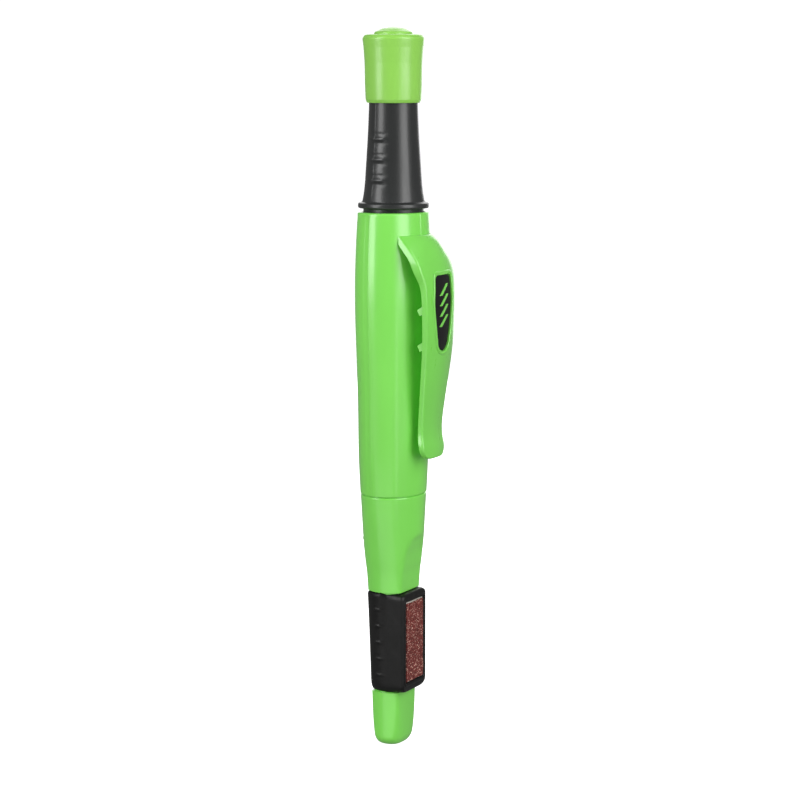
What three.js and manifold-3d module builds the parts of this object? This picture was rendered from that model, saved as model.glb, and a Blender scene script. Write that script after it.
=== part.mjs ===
// A push-button lead holder for a flat marking lead, standing in its holster.
// Millimetres. +Z runs up the common axis from the centre of the holster's flat foot, and +X points
// through the pocket clip and the abrasive strip. The object is the same on both sides of the XZ plane.

import * as THREE from "three";
import { mergeVertices } from "three/addons/utils/BufferGeometryUtils.js";
import Module from "manifold-3d";

const wasm = await Module();
wasm.setup();

// Driving dimensions

const TOTAL_HEIGHT = 165;
const SIDES = 32;
const INNER_SIDES = 24;
const HOLSTER_SIDES = 40;

const FOOT_FILLET = 2.2;
const SLEEVE_BOTTOM = 13;
const SLEEVE_TOP = 36.4;
const PARTING_HEIGHT = 59.1;
const RIM_HEIGHT = 123.7;
const SPIGOT_TOP = 64;
const SPIGOT_RADIUS = 6.85;
const OVAL_THIN = 0.953;
const OVAL_WIDE = 1.144;
const PEN_CLEARANCE = 0.2;

const NECK_RADIUS = 6.85;
const FLANGE_BOTTOM = 124.5;
const FLANGE_RADIUS = 8.09;
const BARREL_BOTTOM = 66.3;
const BARREL_TOP = 156;
const BARREL_BORE = 4.8;
const DENT_HEIGHTS = [131.4, 136, 140.6];

const BUTTON_BOTTOM = 148.1;
const BUTTON_SHOULDER = 163.3;
const BUTTON_CEILING = 161.8;
const STUB_RADIUS = 2.6;
const STUB_BOTTOM = 152;
const SKIRT_BORE = 5.78;

const LEAD_WIDTH = 5;
const LEAD_THICKNESS = 2;
const LEAD_LENGTH = 100;
const LEAD_TIP = 38;
const LEAD_PLAY = 0.15;

const NOSE_BOTTOM = 44.3;
const NOSE_TOP = 71;
const TIP_BOTTOM = 41;
const BRAKE_BOTTOM = 48.4;
const CHAMBER_FLOOR = 52;
const SEAT_BORE = 3.45;
const TUBE_RADIUS = 3.45;
const TUBE_BORE = 2.8;
const TUBE_BOTTOM = 68.1;
const TUBE_TOP = 160;
const JAW_TOP = 63.7;
const JAW_BOTTOM = 55;
const JAW_SHOULDER = 57.5;
const CLUTCH_SLEEVE_BOTTOM = 56;
const CLUTCH_SLEEVE_TOP = 68;
const CLUTCH_RING_TOP = 59.8;
const COLLAR_BOTTOM = 80;
const SPRING_TURNS = 6;
const SPRING_RADIUS = 4;
const WIRE_RADIUS = 0.28;

const CLIP_BOTTOM = 67.5;
const CLIP_TOP = 118.7;
const CLIP_THICKNESS = 1.35;
const CLIP_BODY_GAP = 0.3;
const BADGE_DEPTH = 0.75;
const TOOTH_HEIGHT = 1;
const TOOTH_DEPTH = 1.7;
const UPPER_TOOTH = 102.1;
const LOWER_TOOTH = 94;

const UNDER_SLEEVE = 0.62;
const PLATE_FACE = 5.6;
const PLATE_HALF_WIDTH = 5.8;
const STRIP_HALF_WIDTH = 4.15;
const STRIP_BOTTOM = 15.5;
const STRIP_TOP = 34.2;
const STRIP_RECESS = 0.6;

// Materials

const material = (color, roughness, metalness = 0) =>
  new THREE.MeshStandardMaterial({ color, roughness, metalness });

const holsterGreen = () => material(0x87e464, 0.38);
const buttonGreen = () => material(0x97d962, 0.45);
const darkGrey = () => material(0x3c403f, 0.4);
const blackRubber = () => material(0x2d2d2c, 0.7);
const steel = () => material(0xb9bcbf, 0.3, 1);
const brass = () => material(0xc9a254, 0.3, 1);
const whitePlastic = () => material(0xdcdcd6, 0.5);

// Geometry helpers

function weld(geometry) {
  geometry.deleteAttribute("normal");
  geometry.deleteAttribute("uv");
  return mergeVertices(geometry);
}

function toSolid(geometry) {
  const welded = weld(geometry);
  const vertProperties = new Float32Array(welded.attributes.position.array);
  const triVerts = new Uint32Array(welded.index.array);
  return new wasm.Manifold(new wasm.Mesh({ numProp: 3, vertProperties, triVerts }));
}

function fromSolid(solid) {
  const { vertProperties, triVerts } = solid.getMesh();
  const geometry = new THREE.BufferGeometry();
  geometry.setAttribute("position", new THREE.BufferAttribute(vertProperties, 3));
  geometry.setIndex(new THREE.BufferAttribute(triVerts, 1));
  return geometry;
}

// A body of revolution about Z. The profile is a list of [radius, height] that runs anticlockwise and
// starts and ends on the axis, or comes back to its first point.
function turned(profile, sides = SIDES) {
  const outline = profile.map(([radius, height]) => new THREE.Vector2(radius, height));
  const geometry = new THREE.LatheGeometry(outline, sides);
  geometry.rotateX(Math.PI / 2);
  return geometry;
}

function ring(outer, inner, bottom, top) {
  const profile = [[inner, bottom], [outer, bottom], [outer, top], [inner, top], [inner, bottom]];
  return turned(profile, INNER_SIDES);
}

function block(low, high) {
  const size = high.map((value, axis) => value - low[axis]);
  const geometry = new THREE.BoxGeometry(...size);
  geometry.translate(...low.map((value, axis) => value + size[axis] / 2));
  return geometry;
}

// A smooth curve through a few [value, height] points, read at any height.
function along(points) {
  const curve = new THREE.SplineCurve(points.map(([value, height]) => new THREE.Vector2(value, height)));
  return (height) => {
    let low = 0;
    let high = 1;
    while (high - low > 1e-5) {
      const middle = (low + high) / 2;
      if (curve.getPoint(middle).y < height) low = middle;
      else high = middle;
    }
    return curve.getPoint(low).x;
  };
}

function steps(from, to, count) {
  return Array.from({ length: count + 1 }, (_, index) => from + ((to - from) * index) / count);
}

// Skins a stack of equal-length rings of points, and closes it with a cap at each end. A looped stack
// has no ends: its last ring is joined to its first.
function loft(rings, looped = false) {
  const count = rings[0].length;
  const positions = rings.flat().flatMap(({ x, y, z }) => [x, y, z]);
  const triangles = [];
  const joins = looped ? rings.length : rings.length - 1;
  for (let row = 0; row < joins; row += 1) {
    const here = row * count;
    const next = ((row + 1) % rings.length) * count;
    for (let column = 0; column < count; column += 1) {
      const beside = (column + 1) % count;
      triangles.push(here + column, here + beside, next + beside);
      triangles.push(here + column, next + beside, next + column);
    }
  }
  if (!looped) {
    triangles.push(...cap(count, 0, true), ...cap(count, (rings.length - 1) * count, false));
  }
  const geometry = new THREE.BufferGeometry();
  geometry.setAttribute("position", new THREE.Float32BufferAttribute(positions, 3));
  geometry.setIndex(triangles);
  return geometry;
}

// Fills a ring with a strip of triangles from side to side, which suits a crescent as well as a circle.
function cap(count, start, facesDown) {
  const triangles = [];
  const add = (...corners) => {
    triangles.push(...(facesDown ? corners.reverse() : corners).map((corner) => start + corner));
  };
  for (let near = 0; near < Math.floor(count / 2); near += 1) {
    const far = count - 1 - near;
    if (near + 1 < far) add(near, near + 1, far);
    if (near + 1 < far - 1) add(near + 1, far - 1, far);
  }
  return triangles;
}

const model = new THREE.Group();

function addPart(name, geometry, look) {
  const mesh = new THREE.Mesh(geometry, look);
  mesh.name = name;
  model.add(mesh);
  return mesh;
}

// Holster shells

const shellRadius = along([
  [7.55, 58], [8, 68], [8.2, 82], [8.72, 98], [8.8, 108], [8.5, 117], [8.11, RIM_HEIGHT],
]);

// Three sides round from +X, so that the strips across a ring's cap run askew to the axes.
const SEAM_ANGLE = (3 * 2 * Math.PI) / HOLSTER_SIDES;

// A level ring, stretched along Y and squeezed along X by the oval share of the holster's full oval, with
// a flat on +X and on -X where the ring reaches past it, and soft corners between them.
function holsterRing(round, z, { oval = 1, flat = 10 * round, inset = 0 } = {}) {
  const softness = 10;
  const thin = 1 - (1 - OVAL_THIN) * oval;
  const wide = 1 + (OVAL_WIDE - 1) * oval;
  return steps(SEAM_ANGLE, SEAM_ANGLE + 2 * Math.PI, HOLSTER_SIDES).slice(0, -1).map((angle) => {
    const around = round / Math.hypot(Math.cos(angle) / thin, Math.sin(angle) / wide);
    const plane = flat / Math.max(Math.abs(Math.cos(angle)), 0.01);
    const radius = (around ** -softness + plane ** -softness) ** (-1 / softness) - inset;
    return new THREE.Vector3(radius * Math.cos(angle), radius * Math.sin(angle), z);
  });
}

const roundRing = (radius, z) => holsterRing(radius, z, { oval: 0 });

function holsterUpperShell() {
  const outside = (z, inset = 0) => holsterRing(shellRadius(z), z, { inset });
  const bottom = PARTING_HEIGHT + 0.15;
  const bore = NECK_RADIUS + PEN_CLEARANCE;
  const socket = (z) => holsterRing(SPIGOT_RADIUS, z, { inset: -0.15 });
  return loft([
    socket(bottom),
    outside(bottom, 0.3),
    ...steps(PARTING_HEIGHT + 0.5, RIM_HEIGHT - 0.3, 14).map((z) => outside(z)),
    outside(RIM_HEIGHT, 0.3),
    roundRing(bore, RIM_HEIGHT),
    roundRing(bore, 76),
    roundRing(6.5, SPIGOT_TOP + 0.3),
    socket(SPIGOT_TOP + 0.3),
  ], true);
}

const lowerRound = along([[5.15, 0], [5.5, 12], [6.32, 37], [6.8, 44.5], [7.1, 50.5], [7.6, 60]]);
const lowerFlat = along([[3.45, 0], [3.62, 12.5], [4.4, 37], [5, 43], [5.75, 47], [7.4, 50.2], [14, 56]]);
const lowerOval = (z) => THREE.MathUtils.smoothstep(z, SLEEVE_TOP, PARTING_HEIGHT - 3);

const lowerRing = (z, inset = 0) => (
  holsterRing(lowerRound(z), z, { oval: lowerOval(z), flat: lowerFlat(z), inset })
);

function holsterLowerShell() {
  const foot = steps(0, Math.PI / 2, 4).map((angle) => {
    const z = FOOT_FILLET * (1 - Math.sin(angle));
    return lowerRing(z, FOOT_FILLET * (1 - Math.cos(angle)));
  });
  return loft([
    ...foot.reverse(),
    lowerRing(SLEEVE_BOTTOM - 0.2),
    lowerRing(SLEEVE_BOTTOM - 0.2, UNDER_SLEEVE),
    lowerRing(SLEEVE_TOP + 0.2, UNDER_SLEEVE),
    ...steps(SLEEVE_TOP + 0.2, 50.6, 7).map((z) => lowerRing(z)),
    lowerRing(PARTING_HEIGHT - 0.4),
    lowerRing(PARTING_HEIGHT, 0.4),
    holsterRing(SPIGOT_RADIUS, PARTING_HEIGHT),
    holsterRing(SPIGOT_RADIUS, SPIGOT_TOP),
    roundRing(6.15, SPIGOT_TOP),
    roundRing(6.05, 58),
    roundRing(5.75, 52),
    roundRing(5.05, 48),
    roundRing(4.4, NOSE_BOTTOM),
    roundRing(3.8, TIP_BOTTOM),
    roundRing(3, 36.2),
    roundRing(2.85, 26),
    roundRing(2.2, 14),
    roundRing(2.1, 3.2),
  ]);
}

// Grip sleeve: round at the back with a flat, straight at the sides, and a framed plate towards +X.

function sleeveRing(z, wall, inset = 0) {
  const back = lowerRing(z, UNDER_SLEEVE - wall + inset).filter(({ x }) => x < 0.5);
  const face = PLATE_FACE - inset;
  const side = PLATE_HALF_WIDTH - inset;
  const chamfer = 0.7;
  const front = [
    [face - chamfer, -side],
    [face, chamfer - side],
    [face, side - chamfer],
    [face - chamfer, side],
  ];
  return [...back, ...front.map(([x, y]) => new THREE.Vector3(x, y, z))];
}

function gripSleeve() {
  const outer = toSolid(loft([
    sleeveRing(SLEEVE_BOTTOM, 0.75, 0.35),
    sleeveRing(SLEEVE_BOTTOM + 1.6, 0.82),
    sleeveRing(SLEEVE_TOP - 0.5, 0.8),
    sleeveRing(SLEEVE_TOP, 0.8, 0.3),
  ]));
  const core = (z) => lowerRing(z, UNDER_SLEEVE - 0.15);
  const bore = toSolid(loft([core(SLEEVE_BOTTOM - 1), core(SLEEVE_TOP + 1)]));
  const recess = toSolid(block(
    [PLATE_FACE - STRIP_RECESS, -STRIP_HALF_WIDTH - 0.15, STRIP_BOTTOM - 0.15],
    [PLATE_FACE + 1, STRIP_HALF_WIDTH + 0.15, STRIP_TOP + 0.15],
  ));
  return fromSolid(outer.subtract(bore).subtract(recess));
}

function stripLayer(depth, height, margin) {
  const base = PLATE_FACE - STRIP_RECESS + depth;
  return block(
    [base, margin - STRIP_HALF_WIDTH, STRIP_BOTTOM + margin],
    [base + height, STRIP_HALF_WIDTH - margin, STRIP_TOP - margin],
  );
}

// Pocket clip: a crowned strap whose root wraps the shell. Each slice is level.

const clipFace = along([
  [11.1, CLIP_BOTTOM], [11.1, 70], [10.65, 76], [12.7, 92], [13.2, 100.5], [13.1, 108], [12.4, 112],
  [11.4, 115], [10.2, 117.3], [8.9, CLIP_TOP],
]);
const clipHalfWidth = along([
  [3.3, CLIP_BOTTOM], [5, 70], [4.85, 76.5], [6.3, 92], [6.95, 103], [7.2, 107.5], [7.9, 110.5],
  [8.1, 113], [7.9, 116.5], [7.3, CLIP_TOP],
]);
const clipCrown = along([
  [24, CLIP_BOTTOM], [24, 104], [20, 108], [15, 112], [11.2, 115], [9.7, 117.3], [9.2, CLIP_TOP],
]);

function clipRing(z, outerLift = 0, innerDrop = CLIP_THICKNESS) {
  const half = clipHalfWidth(z);
  const crown = clipCrown(z);
  const across = steps(-half, half, 8);
  const outerX = (y) => clipFace(z) - crown + Math.sqrt(crown ** 2 - y ** 2);
  const shellThin = OVAL_THIN * shellRadius(z) + CLIP_BODY_GAP;
  const shellWide = OVAL_WIDE * shellRadius(z) + CLIP_BODY_GAP;
  const shellX = (y) => shellThin * Math.sqrt(1 - (y / shellWide) ** 2);
  const innerX = (y) => Math.max(outerX(y) - innerDrop, shellX(y));
  const outer = across.map((y) => new THREE.Vector3(outerX(y) + outerLift, y, z));
  const inner = across.toReversed().map((y) => new THREE.Vector3(innerX(y), y, z));
  return [...outer, ...inner];
}

function strap(outerLift, innerDrop) {
  const levels = [CLIP_BOTTOM, 68.2, 69.4, ...steps(71.5, 110, 11), 112.5, 115, 117, CLIP_TOP];
  return toSolid(loft(levels.map((z) => clipRing(z, outerLift, innerDrop))));
}

// The badge's outline on the strap: broad at the top and tapering to a round end below.
function badgePrism(margin) {
  const top = 109.8 + margin;
  const outline = new THREE.Shape();
  outline.absarc(0, 95.15, 2.45 + margin, Math.PI, 2 * Math.PI);
  outline.splineThru([new THREE.Vector2(3.9 + margin, 103), new THREE.Vector2(3.5 + margin, top)]);
  outline.lineTo(-3.5 - margin, top);
  outline.splineThru([new THREE.Vector2(-3.9 - margin, 103), new THREE.Vector2(-2.45 - margin, 95.15)]);
  const geometry = new THREE.ExtrudeGeometry(outline, { depth: 6, bevelEnabled: false, curveSegments: 4 });
  geometry.rotateX(Math.PI / 2);
  geometry.rotateZ(Math.PI / 2);
  geometry.translate(9, 0, 0);
  return toSolid(geometry);
}

// A tooth across the underside of the strap, pointing at the holster.
function clipTooth(z) {
  const half = clipHalfWidth(z) - 0.4;
  const slab = strap(0.3 - CLIP_THICKNESS, CLIP_THICKNESS + TOOTH_HEIGHT);
  return slab.intersect(toSolid(block([5, -half, z - TOOTH_DEPTH / 2], [20, half, z + TOOTH_DEPTH / 2])));
}

function pocketClip() {
  const recess = badgePrism(0.2).intersect(strap(1, BADGE_DEPTH));
  const toothed = strap(0, CLIP_THICKNESS).add(clipTooth(UPPER_TOOTH)).add(clipTooth(LOWER_TOOTH));
  return fromSolid(toothed.subtract(recess));
}

function clipBadge() {
  return fromSolid(badgePrism(0).intersect(strap(-0.3, BADGE_DEPTH - 0.05)));
}

// Pen: barrel and nose

function barrel() {
  const body = toSolid(turned([
    [BARREL_BORE + 0.45, BARREL_BOTTOM],
    [6, BARREL_BOTTOM],
    [6.35, 73],
    [6.35, 115],
    [NECK_RADIUS, 118.5],
    [NECK_RADIUS, FLANGE_BOTTOM],
    [FLANGE_RADIUS - 0.45, FLANGE_BOTTOM],
    [FLANGE_RADIUS, FLANGE_BOTTOM + 0.4],
    [FLANGE_RADIUS, FLANGE_BOTTOM + 0.8],
    [FLANGE_RADIUS - 0.5, FLANGE_BOTTOM + 1.25],
    [7.15, 126.1],
    [6.8, 127.4],
    [6.5, 130],
    [6.2, 134.5],
    [5.85, 140],
    [5.6, 145.5],
    [5.45, 150],
    [5.3, BARREL_TOP],
    [BARREL_BORE, BARREL_TOP],
    [BARREL_BORE, NOSE_TOP + 0.3],
    [BARREL_BORE + 0.45, NOSE_TOP + 0.3],
    [BARREL_BORE + 0.45, BARREL_BOTTOM],
  ]));
  const dents = DENT_HEIGHTS.flatMap((z) => [fingerDent(z, 1), fingerDent(z, -1)]);
  return fromSolid(dents.reduce((solid, dent) => solid.subtract(dent), body));
}

// A shallow hollow on the barrel's side for a finger tip.
function fingerDent(z, side) {
  const geometry = new THREE.SphereGeometry(1, 12, 8);
  geometry.scale(2.2, 1, 2.1);
  geometry.translate(0, side * (13.5 - z / 20), z);
  return toSolid(geometry);
}

// A ring that centres the lead tube in the barrel.
function guideBush(bottom, top) {
  return ring(BARREL_BORE - 0.05, TUBE_RADIUS + 0.15, bottom, top);
}

function noseSection() {
  return turned([
    [SEAT_BORE, NOSE_BOTTOM],
    [4, NOSE_BOTTOM],
    [4.65, 48],
    [5.35, CHAMBER_FLOOR],
    [5.7, 58],
    [5.95, 66],
    [BARREL_BORE + 0.3, 66],
    [BARREL_BORE + 0.3, NOSE_TOP],
    [BARREL_BORE, NOSE_TOP],
    [BARREL_BORE, CHAMBER_FLOOR],
    [SEAT_BORE, CHAMBER_FLOOR],
    [SEAT_BORE, NOSE_BOTTOM],
  ], INNER_SIDES);
}

// A turned piece with a rectangular passage for the flat lead cut through it.
function withPassage(profile, play) {
  const width = LEAD_WIDTH / 2 + play;
  const thickness = LEAD_THICKNESS / 2 + play;
  const passage = block([-thickness, -width, 0], [thickness, width, TOTAL_HEIGHT]);
  return fromSolid(toSolid(turned(profile, INNER_SIDES)).subtract(toSolid(passage)));
}

function noseTip() {
  const head = NOSE_BOTTOM - 0.2;
  const top = BRAKE_BOTTOM - 0.2;
  return withPassage([
    [0, TIP_BOTTOM],
    [3.25, TIP_BOTTOM],
    [3.9, head],
    [3.3, head],
    [3.3, top],
    [0, top],
  ], LEAD_PLAY);
}

function leadBrake() {
  const top = CHAMBER_FLOOR - 0.2;
  return withPassage([[0, BRAKE_BOTTOM], [3.35, BRAKE_BOTTOM], [3.35, top], [0, top]], 0.05);
}

// Clutch: two jaws hang from the chuck body and are held shut by the ring round their shanks.

function chuckBody() {
  const bottom = JAW_TOP + 0.3;
  const top = TUBE_BOTTOM - 0.1;
  return withPassage([[0, bottom], [TUBE_RADIUS, bottom], [TUBE_RADIUS, top], [0, top]], LEAD_PLAY);
}

function chuckJaw(side) {
  const whole = toSolid(turned([
    [0, JAW_BOTTOM], [3.4, JAW_BOTTOM], [3.75, JAW_BOTTOM + 0.6], [3.75, JAW_SHOULDER - 0.4],
    [3, JAW_SHOULDER], [3, JAW_TOP], [0, JAW_TOP],
  ], INNER_SIDES));
  const inner = LEAD_THICKNESS / 2 + 0.05;
  const half = side > 0 ? block([inner, -5, 50], [5, 5, 70]) : block([-5, -5, 50], [-inner, 5, 70]);
  return fromSolid(whole.intersect(toSolid(half)));
}

function clutchSleeve() {
  const lip = CLUTCH_SLEEVE_BOTTOM + 0.6;
  const ceiling = CLUTCH_SLEEVE_TOP - 1.2;
  return turned([
    [4, CLUTCH_SLEEVE_BOTTOM],
    [4.6, CLUTCH_SLEEVE_BOTTOM],
    [4.6, CLUTCH_SLEEVE_TOP],
    [3.6, CLUTCH_SLEEVE_TOP],
    [3.6, ceiling],
    [4.25, ceiling],
    [4.25, lip],
    [4, lip],
    [4, CLUTCH_SLEEVE_BOTTOM],
  ], INNER_SIDES);
}

class SpringCurve extends THREE.Curve {
  getPoint(t, target = new THREE.Vector3()) {
    const bottom = CLUTCH_SLEEVE_TOP + 0.2 + WIRE_RADIUS;
    const top = COLLAR_BOTTOM - 0.2 - WIRE_RADIUS;
    const angle = 2 * Math.PI * SPRING_TURNS * t;
    return target.set(
      SPRING_RADIUS * Math.cos(angle),
      SPRING_RADIUS * Math.sin(angle),
      bottom + (top - bottom) * t,
    );
  }
}

function returnSpring() {
  const wire = new THREE.Shape(steps(0, 2 * Math.PI, 6).slice(0, -1).map(
    (angle) => new THREE.Vector2(WIRE_RADIUS * Math.cos(angle), WIRE_RADIUS * Math.sin(angle)),
  ));
  return new THREE.ExtrudeGeometry(wire, { steps: 12 * SPRING_TURNS, extrudePath: new SpringCurve() });
}

// Push button: a cap over the barrel's end, with a stub that plugs the lead tube.

function pushButton() {
  return turned([
    [0, STUB_BOTTOM],
    [STUB_RADIUS, STUB_BOTTOM],
    [STUB_RADIUS, BUTTON_CEILING],
    [SKIRT_BORE, BUTTON_CEILING],
    [SKIRT_BORE, BUTTON_BOTTOM],
    [6.05, BUTTON_BOTTOM],
    [6.32, BUTTON_BOTTOM + 0.7],
    [6.4, 152],
    [6.48, 157],
    [6.75, 160.7],
    [6.92, 162.2],
    [6.75, 162.95],
    [6.2, BUTTON_SHOULDER],
    [4.9, BUTTON_SHOULDER - 0.1],
    [4.3, 163.9],
    [2.9, 164.6],
    [1.2, 164.95],
    [0, TOTAL_HEIGHT],
  ]);
}

// The lead's flat faces look towards +X and -X, as the jaws grip them.
function flatLead() {
  const thickness = LEAD_THICKNESS / 2;
  const width = LEAD_WIDTH / 2;
  return block([-thickness, -width, LEAD_TIP], [thickness, width, LEAD_TIP + LEAD_LENGTH]);
}

// Assembly

addPart("holster_lower_shell", holsterLowerShell(), holsterGreen());
addPart("holster_upper_shell", holsterUpperShell(), holsterGreen());
addPart("grip_sleeve", gripSleeve(), blackRubber());
addPart("abrasive_backing", stripLayer(0.05, 0.25, 0), material(0xd8d2c6, 0.9));
addPart("abrasive_strip", stripLayer(0.35, 0.3, 0.1), material(0x7d3932, 0.95));

addPart("pocket_clip", pocketClip(), holsterGreen());
addPart("clip_badge", clipBadge(), material(0x231e24, 0.5));

addPart("barrel", barrel(), darkGrey());
addPart("nose_section", noseSection(), darkGrey());
addPart("nose_tip", noseTip(), steel());
addPart("lead_brake", leadBrake(), blackRubber());
addPart("clutch_sleeve", clutchSleeve(), whitePlastic());
addPart("lower_guide_bush", guideBush(82, 86), whitePlastic());
addPart("upper_guide_bush", guideBush(150, 155), whitePlastic());

addPart("clutch_ring", ring(4.15, 3.3, JAW_SHOULDER + 0.3, CLUTCH_RING_TOP), brass());
addPart("chuck_body", chuckBody(), brass());
addPart("chuck_jaw_right", chuckJaw(1), brass());
addPart("chuck_jaw_left", chuckJaw(-1), brass());
addPart("lead_tube", ring(TUBE_RADIUS, TUBE_BORE, TUBE_BOTTOM, TUBE_TOP), whitePlastic());
addPart("spring_collar", ring(4.4, TUBE_RADIUS + 0.05, COLLAR_BOTTOM, 81.7), whitePlastic());
addPart("return_spring", returnSpring(), steel());
addPart("push_button", pushButton(), buttonGreen());

addPart("flat_lead", flatLead(), material(0x3a3b3d, 0.45));

export default model;
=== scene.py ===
"""The finished surfaces of a push-button lead holder in its holster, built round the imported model.

Shape functions work in millimetres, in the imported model's frame: +Z up the common axis, +X through the
pocket clip. solid() turns them into Blender's metres.
"""

import math

import bmesh
import bpy
import numpy as np
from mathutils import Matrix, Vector


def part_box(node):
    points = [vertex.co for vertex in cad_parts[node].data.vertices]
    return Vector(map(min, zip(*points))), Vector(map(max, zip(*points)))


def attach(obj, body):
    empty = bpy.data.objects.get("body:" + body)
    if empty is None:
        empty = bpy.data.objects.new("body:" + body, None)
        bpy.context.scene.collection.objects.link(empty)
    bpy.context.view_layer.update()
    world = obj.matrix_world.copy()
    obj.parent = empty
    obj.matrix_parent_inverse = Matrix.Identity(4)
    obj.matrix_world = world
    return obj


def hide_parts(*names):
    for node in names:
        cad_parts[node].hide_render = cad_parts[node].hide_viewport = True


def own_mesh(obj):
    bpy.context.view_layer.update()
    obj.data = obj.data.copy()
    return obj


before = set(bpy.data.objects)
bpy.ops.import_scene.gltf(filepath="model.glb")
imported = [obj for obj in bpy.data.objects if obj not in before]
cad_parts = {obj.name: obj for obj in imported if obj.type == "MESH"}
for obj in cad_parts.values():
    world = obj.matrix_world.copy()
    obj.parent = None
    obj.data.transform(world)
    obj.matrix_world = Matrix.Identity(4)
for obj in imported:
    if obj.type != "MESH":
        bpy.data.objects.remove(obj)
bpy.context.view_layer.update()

MM = 0.001
random = np.random.default_rng(7)


def heights(node):
    low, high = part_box(node)
    return low.z / MM, high.z / MM


UPPER_BOTTOM, RIM = heights("holster_upper_shell")
SPIGOT_TOP = heights("holster_lower_shell")[1]
PARTING = UPPER_BOTTOM - 0.15
SLEEVE_BOTTOM, SLEEVE_TOP = heights("grip_sleeve")
STRIP_BOTTOM, STRIP_TOP = heights("abrasive_strip")
CLIP_BOTTOM, CLIP_TOP = heights("pocket_clip")
BARREL_BOTTOM, BARREL_TOP = heights("barrel")
NOSE_BOTTOM, NOSE_TOP = heights("nose_section")
BUTTON_BOTTOM, BUTTON_TOP = heights("push_button")
LEAD_BOTTOM, LEAD_TOP = heights("flat_lead")
SPRING_BOTTOM, SPRING_TOP = heights("return_spring")

PLATE_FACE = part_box("grip_sleeve")[1].x / MM
FLANGE_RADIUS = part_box("barrel")[1].x / MM
FLANGE_BOTTOM = RIM + 0.8
NECK_RADIUS = 6.85
BORE_RADIUS = NECK_RADIUS + 0.2

OVAL_THIN = 0.953
OVAL_WIDE = 1.144
SPIGOT_RADIUS = 6.85
FOOT_FILLET = 2.2
CHISEL_LENGTH = 2.2
SPRING_RADIUS = 4
SPRING_TURNS = 6
UNDER_SLEEVE = 0.62
CLIP_THICKNESS = 1.35
ROOT_THICKNESS = 2.1
CLIP_BODY_GAP = 0.2
CLIP_BLEND = 0.6
RIDGE_HEIGHTS = (130.9, 135.5, 140.1)


# Curves and outlines


def along(points):
    """A smooth curve through a few (value, height) points, read at any height."""
    knots = np.array(points, float)
    padded = np.vstack([knots[:1], knots, knots[-1:]])
    t = np.linspace(0, len(knots) - 1, 800)
    index = np.minimum(t.astype(int), len(knots) - 2)
    w = (t - index)[:, None]
    before, here, after, beyond = (padded[index + step] for step in range(4))
    leave, arrive = (after - before) / 2, (beyond - here) / 2
    cubic = 2 * here - 2 * after + leave + arrive
    square = 3 * after - 3 * here - 2 * leave - arrive
    curve = ((cubic * w + square) * w + leave) * w + here
    return lambda height: np.interp(height, curve[:, 1], curve[:, 0])


def smoothstep(value, low, high):
    t = np.clip((value - low) / (high - low), 0, 1)
    return t * t * (3 - 2 * t)


def bump_between(value, low, high, soft):
    """1 between low and high, falling to 0 over soft on each side."""
    return smoothstep(value, low - soft, low) * (1 - smoothstep(value, high, high + soft))


def rounded(corners, arc=5, runs=1, closed=True):
    """An outline from (x, y, radius) corners: corners become arcs, and each straight is cut into runs."""
    points = np.array([corner[:2] for corner in corners], float)
    pieces = []
    for i, (_, _, radius) in enumerate(corners):
        here = points[i]
        at_end = not closed and i in (0, len(corners) - 1)
        if at_end or radius == 0:
            pieces.append(here[None])
            continue
        back, ahead = points[i - 1] - here, points[(i + 1) % len(points)] - here
        back_length, ahead_length = np.linalg.norm(back), np.linalg.norm(ahead)
        angle = math.acos(np.clip(back @ ahead / (back_length * ahead_length), -1, 1))
        reach = min(radius / math.tan(angle / 2), 0.49 * back_length, 0.49 * ahead_length)
        start, end = here + back / back_length * reach, here + ahead / ahead_length * reach
        t = np.linspace(0, 1, arc + 1)[:, None]
        pieces.append((1 - t) ** 2 * start + 2 * t * (1 - t) * here + t**2 * end)
    outline = []
    for i, piece in enumerate(pieces):
        outline.extend(piece)
        if runs > 1 and (closed or i < len(pieces) - 1):
            goal = pieces[(i + 1) % len(pieces)][0]
            outline.extend(piece[-1] + (goal - piece[-1]) * step / runs for step in range(1, runs))
    return np.array(outline)


# Meshes


def solid(name, rings, looped=False):
    """A closed mesh object skinned over equal-length rings of points in millimetres."""
    rings = np.array(rings, float)
    rows, columns = rings.shape[:2]
    mesh = bpy.data.meshes.new(name)
    shape = bmesh.new()
    vertices = [[shape.verts.new(point * MM) for point in ring] for ring in rings]
    for row in range(rows if looped else rows - 1):
        here, above = vertices[row], vertices[(row + 1) % rows]
        for column in range(columns):
            beside = (column + 1) % columns
            shape.faces.new((here[column], here[beside], above[beside], above[column]))
    if not looped:
        shape.faces.new(vertices[0][::-1])
        shape.faces.new(vertices[-1])
    bmesh.ops.remove_doubles(shape, verts=shape.verts, dist=1e-7)
    bmesh.ops.recalc_face_normals(shape, faces=shape.faces)
    shape.to_mesh(mesh)
    shape.free()
    obj = bpy.data.objects.new(name, mesh)
    bpy.context.scene.collection.objects.link(obj)
    return obj


def turned(name, profile, sides=128, looped=False):
    """A body of revolution about Z from a profile of (radius, height)."""
    angles = np.linspace(0, 2 * np.pi, sides, endpoint=False)
    circle = np.stack([np.cos(angles), np.sin(angles), np.zeros(sides)], axis=1)
    return solid(name, [circle * radius + [0, 0, z] for radius, z in profile], looped)


def combine(obj, tool, operation):
    """Joins a tool to an object, or cuts it away, and removes the tool."""
    modifier = obj.modifiers.new(operation, "BOOLEAN")
    modifier.operation = operation
    modifier.solver = "EXACT"
    modifier.object = tool
    result = obj.evaluated_get(bpy.context.evaluated_depsgraph_get())
    mesh = bpy.data.meshes.new_from_object(result)
    obj.modifiers.clear()
    obj.data = mesh
    bpy.data.objects.remove(tool)
    return obj


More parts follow.
